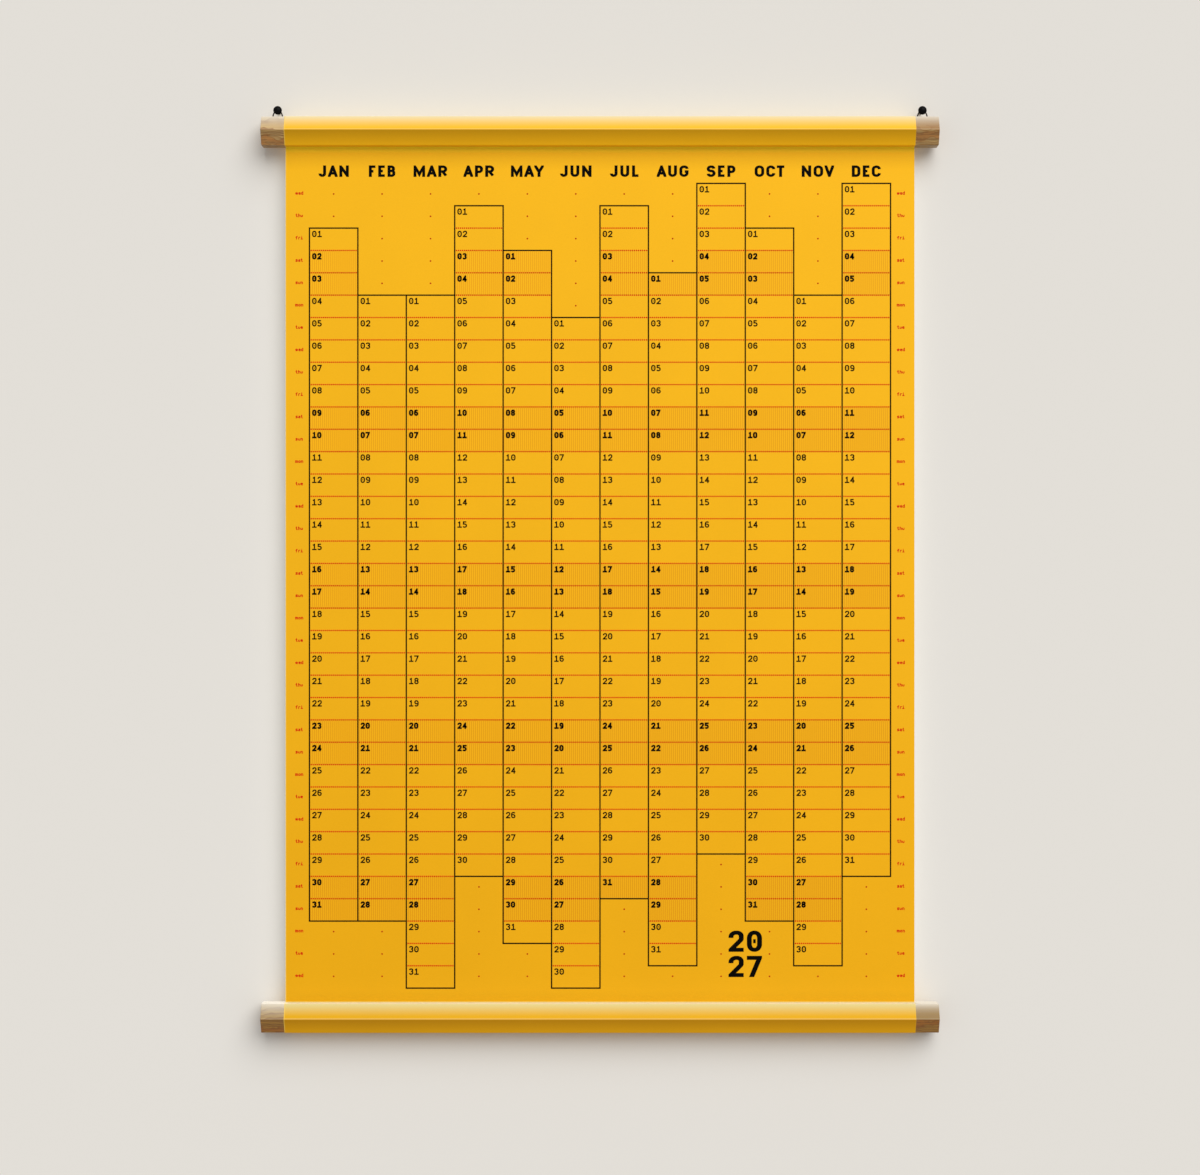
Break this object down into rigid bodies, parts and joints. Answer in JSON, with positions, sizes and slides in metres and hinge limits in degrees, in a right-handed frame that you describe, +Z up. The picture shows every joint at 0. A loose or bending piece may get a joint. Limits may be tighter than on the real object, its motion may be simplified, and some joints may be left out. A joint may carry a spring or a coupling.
{
  "type": "wall calendar",
  "caption": "Printed paper year planner whose two ends are folded round hexagonal wooden rods, hung by cord loops on wall nails.",
  "frame": {"origin": "on the wall, midway between the axes of the two nails", "axes": "+X to the right along the rods as seen from the front, +Y into the wall, +Z up"},
  "size_m": [0.752, 0.0574, 1.0301],
  "materials": {
    "yellow_paper": "uncoated, evenly inked on the front",
    "wood": "sanded, matt clear coat",
    "cord": "braided, waxed",
    "nail": "satin black",
    "adhesive": "clear double-sided tape",
    "dark_ink": "printed line, matt",
    "orange_ink": "printed dotted line, matt",
    "weekend_tint": "printed fine hatch, matt"
  },
  "bodies": {
    "root": {"planner_sheet": "yellow_paper", "top_rod": "wood", "bottom_rod": "wood", "left_cord_loop": "cord", "right_cord_loop": "cord", "nails": "nail", "top_adhesive_strip": "adhesive", "bottom_adhesive_strip": "adhesive", "month_frames": "dark_ink", "row_lines": "orange_ink", "weekend_fields": "weekend_tint"}
  },
  "joints": []
}
